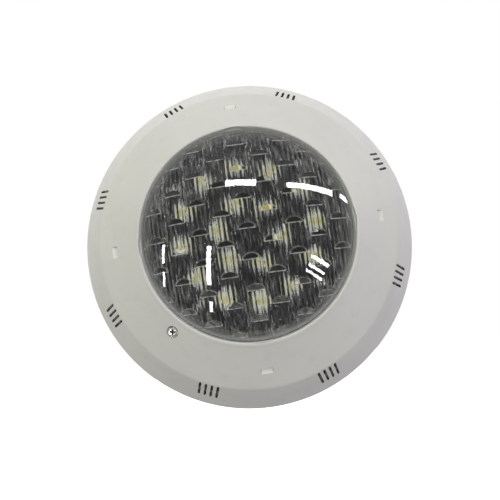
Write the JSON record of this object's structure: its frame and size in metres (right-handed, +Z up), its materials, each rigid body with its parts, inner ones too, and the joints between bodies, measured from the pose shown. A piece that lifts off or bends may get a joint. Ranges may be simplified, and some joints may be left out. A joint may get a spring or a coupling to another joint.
{
  "type": "underwater pool light",
  "caption": "Round wall-mounted pool light: a vented white cover ring round a clear domed lens over a board of LEDs, on a screwed base plate.",
  "frame": {"origin": "middle of the wall plane, on the lamp's axis", "axes": "+Y into the wall and -Y out of the lens, +Z up, +X to the right as the light is looked at"},
  "size_m": [0.29, 0.079, 0.29],
  "materials": {
    "ring_plastic": "satin moulded ABS",
    "base_plastic": "moulded ABS",
    "brass": "turned and knurled",
    "seal_rubber": "matt",
    "stainless": "plain stainless",
    "spring_steel": "rolled strip",
    "nylon": "natural nylon",
    "clear_lens": "clear polycarbonate, prisms inside",
    "silicone": "matt",
    "housing_plastic": "moulded ABS",
    "board_mask": "black solder mask on aluminium",
    "led_white": "white moulding",
    "tinned_lead": "tinned copper",
    "phosphor": "phosphor layer",
    "led_silicone": "clear silicone",
    "thermal_pad": "soft sheet",
    "aluminium": "milled",
    "green_mask": "green solder mask",
    "capacitor_sleeve": "shrunk sleeve",
    "copper_winding": "enamelled wire",
    "black_epoxy": "moulded epoxy",
    "terminal_green": "moulded nylon",
    "red_wire": "wire insulation",
    "brown_wire": "wire insulation",
    "cable_rubber": "rubber sheath",
    "gland_nylon": "moulded nylon"
  },
  "bodies": {
    "wall_side": {"wall_base": "base_plastic", "screw_insert": "brass", "cable_grommet": "seal_rubber"},
    "light_unit": {"cover_ring": "ring_plastic", "retaining_clips": "spring_steel", "clip_screws": "stainless", "lens": "clear_lens", "lens_gasket": "silicone", "lamp_housing": "housing_plastic", "housing_screws": "stainless", "led_board": "board_mask", "led_packages": "led_white", "led_leads": "tinned_lead", "led_chips": "phosphor", "led_domes": "led_silicone", "board_screws": "stainless", "thermal_pad": "thermal_pad", "heat_spreader": "aluminium", "driver_board": "green_mask", "driver_screws": "stainless", "driver_capacitors": "capacitor_sleeve", "driver_inductor": "copper_winding", "bridge_rectifier": "black_epoxy", "terminal_block": "terminal_green", "board_wires": "red_wire", "supply_wires": "brown_wire", "power_cable": "cable_rubber", "gland_body": "gland_nylon", "gland_o_ring": "seal_rubber", "gland_seal": "seal_rubber"},
    "retainer": {"screw_retainer": "nylon"},
    "cover_screw": {"captive_screw": "stainless"},
    "slip_ring": {"gland_slip_ring": "nylon"},
    "cap_nut": {"gland_nut": "gland_nylon"}
  },
  "joints": [
    {"name": "lift_off", "type": "slide", "parent": "wall_side", "child": "light_unit", "axis": [0, -1, 0], "range_m": [0, 0.15]},
    {"name": "screw_rise", "type": "slide", "parent": "light_unit", "child": "retainer", "axis": [0, -1, 0], "range_m": [0, 0.007]},
    {"name": "screw_turn", "type": "hinge", "parent": "retainer", "child": "cover_screw", "pos_m": [-0.06788, -0.0454, -0.06788], "axis": [0, -1, 0], "range_deg": [0, 3604]},
    {"name": "nut_travel", "type": "slide", "parent": "light_unit", "child": "slip_ring", "axis": [0, 0, -1], "range_m": [0, 0.0045]},
    {"name": "nut_turn", "type": "hinge", "parent": "slip_ring", "child": "cap_nut", "pos_m": [0, -0.0225, -0.036], "axis": [0, 0, -1], "range_deg": [0, 1083]}
  ],
  "couplings": [
    {"joint": "screw_turn", "follows": "screw_rise", "rad_per_m": 8976},
    {"joint": "nut_turn", "follows": "nut_travel", "rad_per_m": 4188.8}
  ]
}
